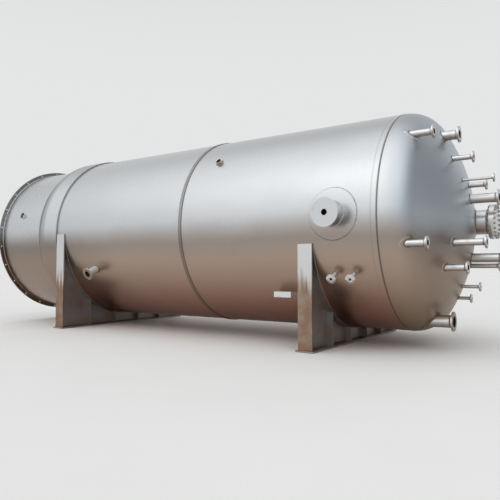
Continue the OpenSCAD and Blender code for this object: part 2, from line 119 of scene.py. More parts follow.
# Shapes of beads, flange faces and bolts
MERGE = 1e-6
SHARP_ANGLE = math.radians(50)
LEAST_STEPS, FACE_STEPS = 24, 64
STUD_SIDES, NUT_SIDES = 16, 6
CHAMFER = 0.12
SHOULDER = 0.8
ROOT, THROAT = 0.25, 0.45
FILLET = [(-ROOT, -ROOT), (1, -ROOT), (1, 0), (THROAT, THROAT), (0, 1), (-ROOT, 1)]

# Sides of the surroundings, each with the cosines between which its brightness changes
OVERHEAD = (0.0, 0.0, 1.0), (0.3, 0.9)
HEAD_SIDE = (0.95, 0.3, 0.0), (0.45, 0.85)
SKIRT_SIDE = (-0.97, 0.0, 0.22), (0.9, 1.0)
GLOW_SIDE = (-0.08, -0.52, 0.85), (0.45, 1.0)
SPOT_SIDE = (-0.25, -0.63, 0.73), (0.92, 1.0)
SKY_TINT = (0.985, 0.995, 1.0, 1.0)
SENSOR_WIDTH = 36.0
VIEW_REACH = 1000.0


# Settings

def color_of(name, description, default):
    """Setting that holds a colour."""
    return FloatVectorProperty(name=name, description=description, default=default, subtype="COLOR")


def length_of(name, description, default):
    """Setting that holds a length in metres."""
    return FloatProperty(name=name, description=description, default=default, unit="LENGTH")


def number_of(name, description, default, subtype="NONE"):
    """Setting that holds a number."""
    return FloatProperty(name=name, description=description, default=default, subtype=subtype)


class FinishSettings(bpy.types.PropertyGroup):
    """Colours and finishes of the steel"""
    shell_steel: color_of("Shell steel", "Satin rolled plate", (0.645, 0.66, 0.675))
    head_steel: color_of("Head steel", "Spun plate of the nozzle head", (0.58, 0.64, 0.70))
    pipe_steel: color_of("Pipe steel", "Bright pipes and flanges", (0.73, 0.73, 0.725))
    ring_steel: color_of("Ring steel", "Dull cut rings", (0.36, 0.36, 0.36))
    weld_steel: color_of("Weld metal", "Dull weld metal", (0.22, 0.21, 0.2))
    brushed_weld: color_of("Brushed weld", "Weld metal that is brushed bright", (0.54, 0.535, 0.53))
    stud_steel: color_of("Stud steel", "Stud bolts and nuts", (0.42, 0.41, 0.39))
    # Dust and painted reflection of the brown ground on the lower half
    dust_and_reflection: color_of("Dust", "Film of dust on the lower half", (0.43, 0.33, 0.265))
    haze: color_of("Haze", "Tint that greys the dust just under the dust line", (0.84, 0.93, 1.03))
    # Earth and painted reflection of the shadowed ground, low on the shell
    earth_and_reflection: color_of("Earth", "Red earth low on the shell", (0.34, 0.155, 0.105))
    # Earth and painted reflection of the ground, low on the nozzle head
    head_earth_and_reflection: color_of("Head earth", "Dull earth low on the nozzle head", (0.27, 0.19, 0.125))
    rust: color_of("Rust", "Brown stains on the saddles", (0.27, 0.16, 0.10))
    # Grey of the saddle plates between the end plates, darkened as painted shade
    painted_saddle_shade: color_of("Shelter", "Dull grey of the sheltered saddle plates", (0.33, 0.325, 0.32))
    # Line of the film of dust and painted ground reflection, and its blend
    dust_and_reflection_line: length_of("Dust line", "Height of the dust line above the vessel's axis", -0.09)
    dust_and_reflection_blend: length_of("Dust blend", "Height over which the dust fades", 0.55)
    splash_line: length_of("Splash line", "Height of the brown stains on the saddles", 1.17)
    splash_blend: length_of("Splash blend", "Height over which the stains fade", 0.36)


class WeldSettings(bpy.types.PropertyGroup):
    """Sizes of the weld beads"""
    seam_width: length_of("Seam width", "Width of the butt weld round the head", 0.024)
    seam_height: length_of("Seam height", "Height of the butt weld above the plate", 0.003)
    neck_width: length_of("Neck width", "Width of the butt welds at the necks of flanges", 0.008)
    neck_height: length_of("Neck height", "Height of the butt welds at the necks of flanges", 0.0015)
    foot_leg: length_of("Foot leg", "Leg of the fillet welds at nozzle feet", 0.012)
    plate_leg: length_of("Plate leg", "Leg of the fillet welds between plates", 0.014)
    ripple_pitch: length_of("Ripple pitch", "Distance between the ripples of a bead", 0.012)
    swell: number_of("Swell", "Size of a ripple's crest against its trough", 1.16, "FACTOR")


class ClosureSettings(bpy.types.PropertyGroup):
    """Sizes of the flange faces and the manway's bolting"""
    face_height: length_of("Raised face", "Height of the raised faces of the open flanges", 0.002)
    face_margin: length_of("Face margin", "Distance from a raised face to the bolt holes", 0.003)
    manway_bolts: IntProperty(
        name="Manway bolts", description="Number of stud bolts in the manway's cover", default=20, min=4)
    stud_r: length_of("Stud radius", "Radius of the manway's stud bolts", 0.0135)
    stud_end: length_of("Stud end", "Length of a stud outside its nut", 0.010)
    nut_across: length_of("Nut", "Width of a nut across its flats", 0.046)
    nut_height: length_of("Nut height", "Height of a nut", 0.027)


class StageSettings(bpy.types.PropertyGroup):
    """Floor, light and camera"""
    floor: color_of("Floor", "Colour of the floor", (0.90, 0.895, 0.885))
    floor_half: length_of("Floor reach", "Half the width of the floor", 200.0)
    key_size: FloatVectorProperty(
        name="Softbox", description="Length and height of the softbox", default=(9.0, 9.0), size=2,
        unit="LENGTH")
    key_place: FloatVectorProperty(
        name="Softbox place", description="Softbox from the front seam on the axis",
        default=(9.5, -6.5, 7.0), size=3, subtype="TRANSLATION")
    key_power: number_of("Softbox power", "Power of the softbox in watts", 75.0)
    horizon: number_of("Horizon", "Brightness of the surroundings at the horizon", 0.79)
    overhead: number_of("Overhead", "Brightness of the surroundings overhead", 0.60)
    head_shade: number_of("Head side", "Share of the brightness on the nozzle head's side", 0.40, "FACTOR")
    skirt_shade: number_of("Skirt side", "Share of the brightness on the skirt's side", 0.35, "FACTOR")
    glow: number_of("Glow", "Added brightness of the surroundings in front of the vessel", 0.66)
    hot_spot: number_of("Hot spot", "More brightness where the front course mirrors its surroundings", 0.36)
    eye: FloatVectorProperty(
        name="Eye", description="Camera from the front seam on the axis",
        default=(3.1006, -9.9468, -0.863), size=3, subtype="TRANSLATION")
    yaw: number_of("Yaw", "Camera's turn from looking across the vessel", 0.6032, "ANGLE")
    pitch: number_of("Pitch", "Camera's tilt above the horizontal", 0.0441, "ANGLE")
    lens: number_of("Lens", "Focal length in millimetres", 38.446)
    shift: FloatVectorProperty(
        name="Shift", description="Lens shift as a share of the frame", default=(-0.0024, -0.0093), size=2)


# Reading the frame

def spots(node):
    """Corners of a CAD node's mesh."""
    return [v.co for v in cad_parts[node].data.vertices]


def surface_of(*nodes):
    """Search tree over the faces of some CAD nodes."""
    bm = bmesh.new()
    for node in nodes:
        bm.from_mesh(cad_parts[node].data)
    tree = BVHTree.FromBMesh(bm)
    bm.free()
    return tree


class Pipe:
    """A nozzle's centre line and the sizes that are read from its mesh."""

    def __init__(self, node, centre, way, points):
        self.node, self.centre, self.way = node, centre, way
        rows = [self.measure(point) for point in points]
        first = min(a for a, r in rows)
        self.end = max(a for a, r in rows)
        self.radius = max(r for a, r in rows if a < first + FOOT_ZONE)
        self.face = sorted(r for a, r in rows if a > self.end - TINY)
        self.bore, self.rim = self.face[0], self.face[-1]
        self.hole_edge = next(r for r in self.face if r > self.bore + FACE_LIP)
        self.back = min(a for a, r in rows if r > self.rim - TINY)
        necks = [
            a for a, r in rows
            if abs(r - self.radius) < TINY and first + FOOT_ZONE < a < self.back - TINY]
        self.neck = max(necks) if necks else None

    def measure(self, point):
        """A point's distances along the centre line and away from it."""
        along = (point - self.centre).dot(self.way)
        return along, (point - self.centre - self.way * along).length

    def under(self):
        """Direction square to the pipe that points downwards."""
        down = -UP
        return (down - self.way * self.way.dot(down)).normalized()


def head_pipe(node):
    """A nozzle that points along the vessel's axis."""
    low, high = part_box(node)
    return Pipe(node, Vector((0, (low.y + high.y) / 2, (low.z + high.z) / 2)), AXIS, spots(node))


def shell_pipes(node, count):
    """The pipes of a node that stand square on the shell, side by side along the vessel."""
    low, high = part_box(node)
    width = (high.x - low.x) / count
    made = []
    for i in range(count):
        start = low.x + i * width
        faces = [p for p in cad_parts[node].data.polygons if start <= p.center.x < start + width]
        middle = sum((p.center * p.area for p in faces), Vector()) / sum(p.area for p in faces)
        way = Vector((0, middle.y, middle.z - AXIS_Z)).normalized()
        points = [p for p in spots(node) if start - TINY <= p.x <= start + width + TINY]
        span = min(p.x for p in points) + max(p.x for p in points)
        made.append(Pipe(node, Vector((span / 2, 0, AXIS_Z)), way, points))
    return made


def trunnion():
    """The near trunnion's pipe."""
    low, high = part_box("trunnion_pipes")
    centre = Vector(((low.x + high.x) / 2, 0, (low.z + high.z) / 2))
    return Pipe("trunnion_pipes", centre, -ACROSS, [p for p in spots("trunnion_pipes") if p.y < 0])


# Shader nodes

class NodeWriter:
    """Writes shader nodes into a tree; each call returns an output socket."""

    def __init__(self, tree, coordinates):
        self.tree = tree
        self.place = tree.nodes.new("ShaderNodeTexCoord").outputs[coordinates]

    def feed(self, socket, value):
        """Links a socket, or sets a plain number or colour."""
        if isinstance(value, bpy.types.NodeSocket):
            self.tree.links.new(value, socket)
        elif hasattr(value, "__len__"):
            socket.default_value = (*value, 1)
        else:
            socket.default_value = value

    def math(self, operation, a, b=0.0):
        """Result of a calculation with one or two values."""
        node = self.tree.nodes.new("ShaderNodeMath")
        node.operation = operation
        self.feed(node.inputs[0], a)
        self.feed(node.inputs[1], b)
        return node.outputs[0]

    def dot(self, way):
        """Dot product of the coordinates with a direction."""
        node = self.tree.nodes.new("ShaderNodeVectorMath")
        node.operation = "DOT_PRODUCT"
        self.feed(node.inputs[0], self.place)
        node.inputs[1].default_value = way
        return node.outputs["Value"]

    def ramp(self, value, span, ends, kind="SMOOTHSTEP"):
        """Takes a value from one span of numbers to another."""
        node = self.tree.nodes.new("ShaderNodeMapRange")
        node.interpolation_type = kind
        self.feed(node.inputs["Value"], value)
        node.inputs["From Min"].default_value, node.inputs["From Max"].default_value = span
        node.inputs["To Min"].default_value, node.inputs["To Max"].default_value = ends
        return node.outputs["Result"]


class Finish(NodeWriter):
    """Writes the nodes of a material."""

    def __init__(self, name, metallic=1.0):
        self.material = bpy.data.materials.new(name)
        self.material.use_nodes = True
        super().__init__(self.material.node_tree, "Object")
        self.shader = self.tree.nodes["Principled BSDF"]
        self.shader.inputs["Metallic"].default_value = metallic
        split = self.tree.nodes.new("ShaderNodeSeparateXYZ")
        self.feed(split.inputs[0], self.place)
        self.x, self.z = split.outputs["X"], split.outputs["Z"]

    def along(self, centre, way):
        """Distance from a point along a direction."""
        return self.math("SUBTRACT", self.dot(way), centre.dot(way))

    def away(self, centre, way):
        """Distance from a centre line."""
        side = way.orthogonal().normalized()
        a, b = self.along(centre, side), self.along(centre, way.cross(side))
        return self.math("SQRT", self.math("ADD", self.math("MULTIPLY", a, a), self.math("MULTIPLY", b, b)))

    def fade(self, value, at_zero, at_one, top=1.0):
        """Smooth step from 0 to top as value goes from at_zero to at_one."""
        if at_zero < at_one:
            return self.ramp(value, (at_zero, at_one), (0.0, top))
        return self.ramp(value, (at_one, at_zero), (top, 0.0))

    def spread(self, value, low, high):
        """Takes 0 to 1 to low to high."""
        return self.ramp(value, (0.0, 1.0), (low, high), "LINEAR")

    def noise(self, waves, detail=3.0):
        """Noise with its own frequency along each axis, in waves a metre."""
        mapping = self.tree.nodes.new("ShaderNodeMapping")
        mapping.inputs["Scale"].default_value = waves
        self.feed(mapping.inputs["Vector"], self.place)
        node = self.tree.nodes.new("ShaderNodeTexNoise")
        node.inputs["Scale"].default_value = 1.0
        node.inputs["Detail"].default_value = detail
        self.feed(node.inputs["Vector"], mapping.outputs[0])
        return node.outputs["Fac"]

    def rings(self, waves, detail):
        """Noise that only changes with the distance from the vessel's axis."""
        node = self.tree.nodes.new("ShaderNodeTexNoise")
        node.noise_dimensions = "1D"
        node.inputs["Scale"].default_value = waves
        node.inputs["Detail"].default_value = detail
        self.feed(node.inputs["W"], self.away(ON_AXIS, AXIS))
        return node.outputs["Fac"]

    def mix(self, share, a, b, blend="MIX"):
        """Colour that goes from a to b, or to their product, as share goes from 0 to 1."""
        node = self.tree.nodes.new("ShaderNodeMix")
        node.data_type = "RGBA"
        node.blend_type = blend
        self.feed(node.inputs["Factor"], share)
        self.feed(node.inputs["A"], a)
        self.feed(node.inputs["B"], b)
        return node.outputs["Result"]

    def color(self, value):
        """Sets the material's colour."""
        self.feed(self.shader.inputs["Base Color"], value)

    def roughness(self, value):
        """Sets the material's roughness."""
        self.feed(self.shader.inputs["Roughness"], value)

    def bump(self, height, distance):
        """Gives the surface a fine relief of that height in metres."""
        node = self.tree.nodes.new("ShaderNodeBump")
        node.inputs["Distance"].default_value = distance
        self.feed(node.inputs["Height"], height)
        self.feed(self.shader.inputs["Normal"], node.outputs[0])


# Materials

def shaded(color, share):
    """A share of a colour's brightness."""
    return [c * share for c in color]


def dust_and_reflection_film(f, look, steel, dust_and_reflection, earth_and_reflection):
    """Steel under a film of dust and painted reflection of the brown ground on the lower half, greyer just
    under the film's line, and with earth and painted reflection of the shadowed ground at the bottom.
    """
    wander = f.spread(f.noise(waves=(0.9, 0.6, 0.6)), low=-DUST_AND_REFLECTION_WANDER, high=DUST_AND_REFLECTION_WANDER)
    height = f.math("ADD", f.math("ADD", f.z, wander), f.fade(f.x, *HEAD_CROWN, top=CROWN_LIFT))
    line, half = AXIS_Z + look.dust_and_reflection_line, look.dust_and_reflection_blend / 2
    # Below this line the colour is dust and painted reflection of the ground
    film = f.fade(height, line + half, line - half)
    low = f.fade(height, EARTH_REFLECTION_TOP, EARTH_REFLECTION_FULL)
    dim = f.mix(f.fade(f.x, *REAR_DIM, top=REAR_DIM_SHARE), dust_and_reflection, BLACK)
    grey = f.mix(f.fade(height, line - HAZE_END, line - HAZE_FULL), dim, look.haze, "MULTIPLY")
    return f.mix(film, steel, f.mix(low, grey, earth_and_reflection))


def rolled_plate(name, look, seams, earth_and_reflection):
    """Satin plate brushed round the vessel, with a ground band beside each seam."""
    f = Finish(name)
    steel = look.shell_steel
    brush = f.noise(waves=(190.0, 5.0, 5.0), detail=4.0)
    cloud = f.noise(waves=(0.55, 0.8, 0.8), detail=4.0)
    buckle = f.noise(waves=(0.7, 0.9, 0.9), detail=2.0)
    tone = f.mix(f.spread(brush, low=0.0, high=0.22), steel, shaded(steel, 0.72))
    tone = f.mix(f.fade(cloud, 0.42, 0.75, top=0.2), tone, shaded(steel, 0.82))
    tone = dust_and_reflection_film(f, look, tone, look.dust_and_reflection, earth_and_reflection)
    for seam in seams:
        away = f.math("ABSOLUTE", f.math("SUBTRACT", f.x, seam))
        edge = f.math("MULTIPLY", f.fade(away, *GROUND_INNER), f.fade(away, *GROUND_OUTER, top=0.25))
        tone = f.mix(edge, tone, look.weld_steel)
        tone = f.mix(f.fade(away, *SEAM_TINT, top=0.6), tone, look.weld_steel)
    f.color(tone)
    f.roughness(f.math("ADD", f.spread(brush, low=0.22, high=0.36), f.fade(cloud, 0.4, 0.8, top=0.08)))
    f.bump(f.math("ADD", brush, f.math("MULTIPLY", buckle, SHELL_BUCKLES)), distance=0.00012)
    return f.material


def spun_plate(name, look, steel, dust_and_reflection, earth_and_reflection, rim, knuckle):
    """Plate spun to a dish, with fine rings round the axis, a rim that fades over the knuckle and painted
    shade over its top.
    """
    f = Finish(name)
    rings = f.rings(waves=55.0, detail=4.0)
    cloud = f.noise(waves=(0.9, 0.7, 0.7), detail=4.0)
    tone = f.mix(f.spread(rings, low=0.0, high=0.2), steel, shaded(steel, 0.75))
    tone = f.mix(f.fade(cloud, 0.4, 0.75, top=0.25), tone, shaded(steel, 0.78))
    tone = f.mix(f.fade(f.x, *knuckle), rim, tone)
    # Painted shade over the top
    tone = f.mix(f.fade(f.z, *DISH_TOP_SHADE, top=0.5), tone, shaded(steel, 0.55))
    # The film is darker on the crown: painted shade
    dust_and_reflection = f.mix(f.fade(f.x, *HEAD_CROWN), dust_and_reflection, shaded(dust_and_reflection, CROWN_SHADE_SHARE))
    f.color(dust_and_reflection_film(f, look, tone, dust_and_reflection, earth_and_reflection))
    f.roughness(f.spread(cloud, low=0.3, high=0.46))
    f.bump(f.math("ADD", rings, f.math("MULTIPLY", cloud, HEAD_BUCKLES)), distance=0.00015)
    return f.material


def cut_ring(name, look):
    """Dull cut plate with scale and grinding marks."""
    f = Finish(name)
    speck = f.noise(waves=(40.0, 14.0, 14.0), detail=5.0)
    tone = f.mix(f.fade(speck, 0.35, 0.75, top=0.5), look.ring_steel, shaded(look.ring_steel, 0.6))
    f.color(dust_and_reflection_film(f, look, tone, shaded(look.dust_and_reflection, 0.6), shaded(look.head_earth_and_reflection, 0.75)))
    f.roughness(f.spread(speck, low=0.36, high=0.56))
    f.bump(speck, distance=0.0003)
    return f.material


def turned_pipe(name, look, steel, pipe=None, film=0.75, metallic=1.0):
    """Pickled pipe or plate with a few water marks; a pipe's underside and bore are darkened with painted
    shade, and some flange faces take a painted reflection of the ground.
    """
    f = Finish(name, metallic)
    grain = f.noise(waves=(6.0, 120.0, 120.0), detail=4.0)
    mark = f.noise(waves=(5.0, 5.0, 5.0), detail=4.0)
    dust_and_reflection = shaded(look.dust_and_reflection, film)
    tone = f.mix(f.spread(grain, low=0.0, high=0.25), steel, shaded(steel, 0.7))
    tone = f.mix(f.fade(mark, 0.55, 0.72, top=0.35), tone, dust_and_reflection)
    if pipe:
        # The underside takes the film's colour as painted shade
        start, full = UNDERSIDE_START * pipe.radius, UNDERSIDE_FULL * pipe.radius
        below = f.fade(f.along(pipe.centre, pipe.under()), start, full, top=0.9)
        tone = f.mix(below, tone, dust_and_reflection)
        # These flange faces take a painted reflection of the brown ground
        if pipe.node in GROUND_REFLECTION_FACES:
            out = f.along(pipe.centre, pipe.way)
            face = f.fade(out, pipe.end - 2 * TINY, pipe.end - TINY, top=0.95)
            tone = f.mix(face, tone, shaded(dust_and_reflection, 0.8))
        # The bore is darkened as painted shade
        inside = f.fade(f.away(pipe.centre, pipe.way), pipe.bore + 2 * TINY, pipe.bore + TINY)
        tone = f.mix(inside, tone, shaded(dust_and_reflection, 0.3))
    f.color(tone)
    f.roughness(f.spread(grain, low=0.22, high=0.4))
    f.bump(grain, distance=0.0001)
    return f.material


def stained_plate(name, look, bright, brown):
    """Plate that is bright above and stained by splashes below."""
    f = Finish(name)
    grain = f.noise(waves=(9.0, 9.0, 60.0), detail=4.0)
    run = f.noise(waves=(16.0, 16.0, 1.2), detail=4.0)
    blot = f.noise(waves=(4.0, 4.0, 4.0), detail=5.0)
    steel = f.mix(f.spread(grain, low=0.0, high=0.3), bright, shaded(bright, 0.65))
    height = f.math("ADD", f.z, f.spread(run, low=-RUN_HEIGHT, high=RUN_HEIGHT))
    line, half = look.splash_line, look.splash_blend / 2
    stain = f.fade(height, line + half, line - half, top=0.95)
    f.color(f.mix(stain, steel, f.mix(f.fade(blot, 0.35, 0.7), brown, shaded(look.dust_and_reflection, 0.8))))
    dull = f.math("MULTIPLY", stain, STAIN_ROUGHNESS)
    f.roughness(f.math("ADD", f.spread(grain, low=0.3, high=0.42), dull))
    f.bump(f.math("ADD", grain, blot), distance=0.0003)
    return f.material


def weld_metal(name, look, steel):
    """Rippled weld metal with a little straw and blue heat tint."""
    f = Finish(name)
    heat = f.noise(waves=(7.0, 7.0, 7.0))
    ripples = f.noise(waves=(160.0, 160.0, 160.0))
    tone = f.mix(f.fade(heat, 0.52, 0.7, top=0.4), steel, STRAW_TINT)
    tone = f.mix(f.fade(heat, 0.48, 0.32, top=0.4), tone, BLUE_TINT)
    # The film of dust and painted ground reflection on a bead follows the brightness of its metal
    f.color(dust_and_reflection_film(f, look, tone, shaded(look.dust_and_reflection, 2 * steel[0]), shaded(look.earth_and_reflection, 0.6)))
    f.roughness(f.spread(ripples, low=0.36, high=0.58))
    f.bump(ripples, distance=0.0006)
    return f.material


def stud_metal(name, look):
    """Stud bolts and nuts with a dull grain."""
    f = Finish(name)
    grain = f.noise(waves=(90.0, 90.0, 90.0))
    f.color(f.mix(f.fade(grain, 0.4, 0.7, top=0.6), look.stud_steel, shaded(look.stud_steel, 0.55)))
    f.roughness(f.spread(grain, low=0.3, high=0.5))
    f.bump(grain, distance=0.0002)
    return f.material


# Shapes: rings and bars of weld metal

def finish_piece(name, bm, material):
    """Closes a bmesh into a piece that rides on the vessel."""
    bmesh.ops.remove_doubles(bm, verts=bm.verts, dist=MERGE)
    bmesh.ops.recalc_face_normals(bm, faces=bm.faces)
    mesh = bpy.data.meshes.new(name)
    bm.to_mesh(mesh)
    bm.free()
    mesh.shade_smooth()
    mesh.set_sharp_from_angle(angle=SHARP_ANGLE)
    mesh.materials.append(bpy.data.materials[material])
    piece = bpy.data.objects.new(name, mesh)
    bpy.context.scene.collection.objects.link(piece)
    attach(piece, BODY)


def even_steps(length, pitch):
    """An even count of slices with about that pitch."""
    return max(LEAST_STEPS, 2 * round(length / pitch / 2))


def spin_ring(bm, profile, centre, axis, steps, start=None, turn=math.tau, swell=1.0):
    """Spins a closed profile of (radius, along) points; swell makes every second slice larger."""
    side = (start or axis.orthogonal()).normalized()
    before = set(bm.verts)
    verts = [bm.verts.new(centre + axis * along + side * radius) for radius, along in profile]
    edges = [bm.edges.new(pair) for pair in zip(verts, verts[1:] + verts[:1])]
    full = turn > math.tau - TINY
    bmesh.ops.spin(
        bm, geom=verts + edges, cent=centre, axis=axis, angle=turn, steps=steps, use_merge=full)
    made = [v for v in bm.verts if v not in before]
    if not full:
        open_edges = dict.fromkeys(e for v in made for e in v.link_edges if e.is_boundary)
        bmesh.ops.holes_fill(bm, edges=list(open_edges), sides=len(profile))
    if swell != 1.0:
        ripple(made, profile, centre, axis, side, turn / steps, swell)
    return made


def ripple(verts, profile, centre, axis, side, step, swell):
    """Grows every second slice of a spun bead about the middle of its profile."""
    mid_r = sum(r for r, a in profile) / len(profile)
    mid_a = sum(a for r, a in profile) / len(profile)
    other = axis.cross(side)
    for v in verts:
        away = v.co - centre
        along = away.dot(axis)
        out = away - axis * along
        if round(math.atan2(out.dot(other), out.dot(side)) / step) % 2:
            radius = mid_r + (out.length - mid_r) * swell
            v.co = centre + out.normalized() * radius + axis * (mid_a + (along - mid_a) * swell)


def butt_profile(radius, at, width, height):
    """Low crowned bead over a seam."""
    half, quarter, shoulder = width / 2, width / 4, radius + height * SHOULDER
    return [
        (radius - height, at - half), (radius, at - half), (shoulder, at - quarter), (radius + height, at),
        (shoulder, at + quarter), (radius, at + half), (radius - height, at + half),
    ]


def fillet_profile(radius, at, leg, way):
    """Fillet in the corner between a round of that radius and a wall that stands up from it at a station."""
    return [(radius + leg * a, at + way * leg * b) for a, b in FILLET]


def foot_weld(bm, tree, centre, way, radius, leg, weld):
    """Fillet round a pipe or a round pad, shifted along the pipe until it lies on a curved plate."""
    steps = even_steps(math.tau * radius, weld.ripple_pitch)
    profile = fillet_profile(radius, 0, leg, 1)
    for v in spin_ring(bm, profile, centre, way, steps, swell=weld.swell):
        out = v.co - centre
        out -= way * out.dot(way)
        spot = centre + out.normalized() * max(out.length, radius + leg * ROOT)
        hit = tree.ray_cast(spot + way * RAY_REACH, -way)[0]
        if hit is None:
            raise RuntimeError("a weld has no plate under it")
        v.co += way * (hit - spot).dot(way)


def straight_bead(bm, start, end, out, up, leg):
    """Fillet along the corner of two flat plates."""
    face = bm.faces.new([bm.verts.new(start + (out * a + up * b) * leg) for a, b in FILLET])
    made = bmesh.ops.extrude_face_region(bm, geom=[face], use_keep_orig=True)["geom"]
    moved = [g for g in made if isinstance(g, bmesh.types.BMVert)]
    bmesh.ops.translate(bm, verts=moved, vec=end - start)


# Operators: one for each group of pieces

class VESSEL_OT_finishes(bpy.types.Operator):
    """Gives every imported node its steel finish"""
    bl_idname = "vessel.finishes"
    bl_label = "Steel finishes"

    def execute(self, context):
        look = context.scene.vessel_finish
        bright = turned_pipe("bright_plate", look, look.pipe_steel)
        # Brown plate that paints the ground's reflection on flange faces
        turned_pipe("ground_reflection_plate", look, shaded(look.dust_and_reflection, 0.66))
        weld_metal("weld_metal", look, look.weld_steel)
        weld_metal("brushed_weld", look, look.brushed_weld)
        stud_metal("stud_metal", look)
        chosen = {**self.plates(look), **self.pipes(look), **self.saddles(look)}
        for node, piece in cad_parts.items():
            piece.data.materials.clear()
            piece.data.materials.append(chosen.get(node, bright))
        return {"FINISHED"}

    def plates(self, look):
        """Finishes of the shell, the heads, the rings and the skirt."""
        front = rolled_plate("rolled_front", look, [FRONT_SEAM], look.earth_and_reflection)
        rear = rolled_plate("rolled_rear", look, [], look.earth_and_reflection)
        skirt = rolled_plate("rolled_skirt", look, [], shaded(look.dust_and_reflection, 0.9))
        dish = spun_plate("spun_dish", look, look.head_steel, shaded(look.dust_and_reflection, 0.97), look.head_earth_and_reflection,
                          look.shell_steel, DISH_KNUCKLE)
        # Skirt head: the darker steel over the knuckle is painted shade, the brighter rim on the straight
        # band a painted highlight
        band = spun_plate("spun_band", look, shaded(look.shell_steel, 0.74), look.dust_and_reflection, look.earth_and_reflection,
                          shaded(look.shell_steel, 1.04), BAND_KNUCKLE)
        ring = cut_ring("cut_ring", look)
        return {
            "front_shell_course": front, "rear_shell_course": rear, "skirt": skirt, "skirt_head": band,
            "nozzle_head": dish, "head_nozzle_pads": dish, "trunnion_pads": front,
            "girth_ring": ring, "step_ring": rear, "skirt_base_ring": ring,
        }

    def pipes(self, look):
        """Finishes of the nozzles, the trunnions and the cleat."""
        made = {
            # The trunnion's darker film deepens the painted shade on its underside
            "trunnion_pipes": turned_pipe("trunnion_pipe", look, look.shell_steel, trunnion(), film=0.4),
            "trunnion_end_plates": turned_pipe("end_plate", look, look.shell_steel),
            "platform_cleat": turned_pipe("cleat_plate", look, look.pipe_steel, metallic=0.2),
        }
        for node in HEAD_NOZZLES:
            made[node] = turned_pipe("pipe_" + node, look, look.pipe_steel, head_pipe(node))
        for node, count in SHELL_PIPES.items():
            pipe = shell_pipes(node, count)[0]
            made[node] = turned_pipe("pipe_" + node, look, look.pipe_steel, pipe, metallic=0.4)
        return made

    def saddles(self, look):
        """Finishes of the saddles: bright end plates, and plates between them darkened with painted shade.
        """
        outer = stained_plate("stained_outer", look, shaded(look.pipe_steel, 0.96), look.rust)
        # The plates between the end plates are a darker copy: painted shade
        inner = stained_plate("stained_inner_shaded", look, look.painted_saddle_shade, look.painted_saddle_shade)
        made = {}
        for saddle in SADDLES:
            made[saddle + "_end_plates"] = outer
            for part in ("base", "web", "ribs", "cradle"):
                made[saddle + "_" + part] = inner
        return made


class VESSEL_OT_seam_beads(bpy.types.Operator):
    """Lays the weld beads that run right round the vessel"""
    bl_idname = "vessel.seam_beads"
    bl_label = "Seam beads"

    def execute(self, context):
        weld = context.scene.vessel_weld
        ring_low, ring_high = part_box("girth_ring")
        skirt_low, skirt_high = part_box("skirt")
        skirt_r = (skirt_high.z - skirt_low.z) / 2
        joint = max(p.x for p in spots("skirt") if math.hypot(p.y, p.z - AXIS_Z) > skirt_r - TINY)
        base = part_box("skirt_base_ring")[1].x
        self.lay("head_seam_bead", "weld_metal", "shell_plate", weld, [
            butt_profile(SHELL_R, FRONT_SEAM, weld.seam_width, weld.seam_height)])
        self.lay("girth_ring_beads", "weld_metal", "ring_plate", weld, [
            fillet_profile(SHELL_R, ring_low.x, weld.foot_leg, -1),
            fillet_profile(SHELL_R, ring_high.x, weld.foot_leg, 1)])
        self.lay("step_ring_beads", "weld_metal", "ring_plate", weld, [
            fillet_profile(SHELL_R, REAR_SEAM, weld.foot_leg, 1)])
        self.lay("skirt_beads", "brushed_weld", "skirt_plate", weld, [
            fillet_profile(skirt_r, joint, weld.plate_leg, -1),
            fillet_profile(skirt_r, base, weld.plate_leg, 1)])
        return {"FINISHED"}

    def lay(self, name, material, slot, weld, profiles):
        """Makes one piece of the beads with these profiles."""
        steps = even_steps(math.tau * SHELL_R, 2 * weld.ripple_pitch)
        bm = bmesh.new()
        for profile in profiles:
            spin_ring(bm, profile, ON_AXIS, AXIS, steps, swell=weld.swell)
        finish_piece(name, bm, material)


class VESSEL_OT_nozzle_welds(bpy.types.Operator):
    """Lays the welds of the nozzles: at their feet, round their pads and at their necks"""
    bl_idname = "vessel.nozzle_welds"
    bl_label = "Nozzle welds"

    def execute(self, context):
        weld = context.scene.vessel_weld
        dish, padded = surface_of("nozzle_head"), surface_of("nozzle_head", "head_nozzle_pads")
        shell = surface_of("front_shell_course", "rear_shell_course")
        on_head = [head_pipe(node) for node in HEAD_NOZZLES]
        on_shell = [pipe for node, count in SHELL_PIPES.items() for pipe in shell_pipes(node, count)]
        self.pipe_welds("head_nozzle_welds", on_head, padded, weld)
        bm = bmesh.new()
        for pipe in map(head_pipe, PADDED_NOZZLES):
            foot_weld(bm, dish, pipe.centre, pipe.way, self.pad_radius(pipe), weld.foot_leg, weld)
        finish_piece("nozzle_pad_welds", bm, "brushed_weld")
        self.pipe_welds("shell_nozzle_welds", on_shell, shell, weld)
        return {"FINISHED"}

    def pipe_welds(self, name, pipes, plate, weld):
        """One piece of the fillets at the feet of pipes and the butt welds at their flanges' necks."""
        bm = bmesh.new()
        for pipe in pipes:
            foot_weld(bm, plate, pipe.centre, pipe.way, pipe.radius, weld.foot_leg, weld)
            if pipe.neck:
                profile = butt_profile(pipe.radius, pipe.neck, weld.neck_width, weld.neck_height)
                steps = even_steps(math.tau * pipe.radius, weld.ripple_pitch / 2)
                spin_ring(bm, profile, pipe.centre, pipe.way, steps)
        finish_piece(name, bm, "weld_metal")

    def pad_radius(self, pipe):
        """Radius of the pad round a head nozzle."""
        reach = [pipe.measure(point)[1] for point in spots("head_nozzle_pads")]
        return max(r for r in reach if r < pipe.radius + PAD_REACH)


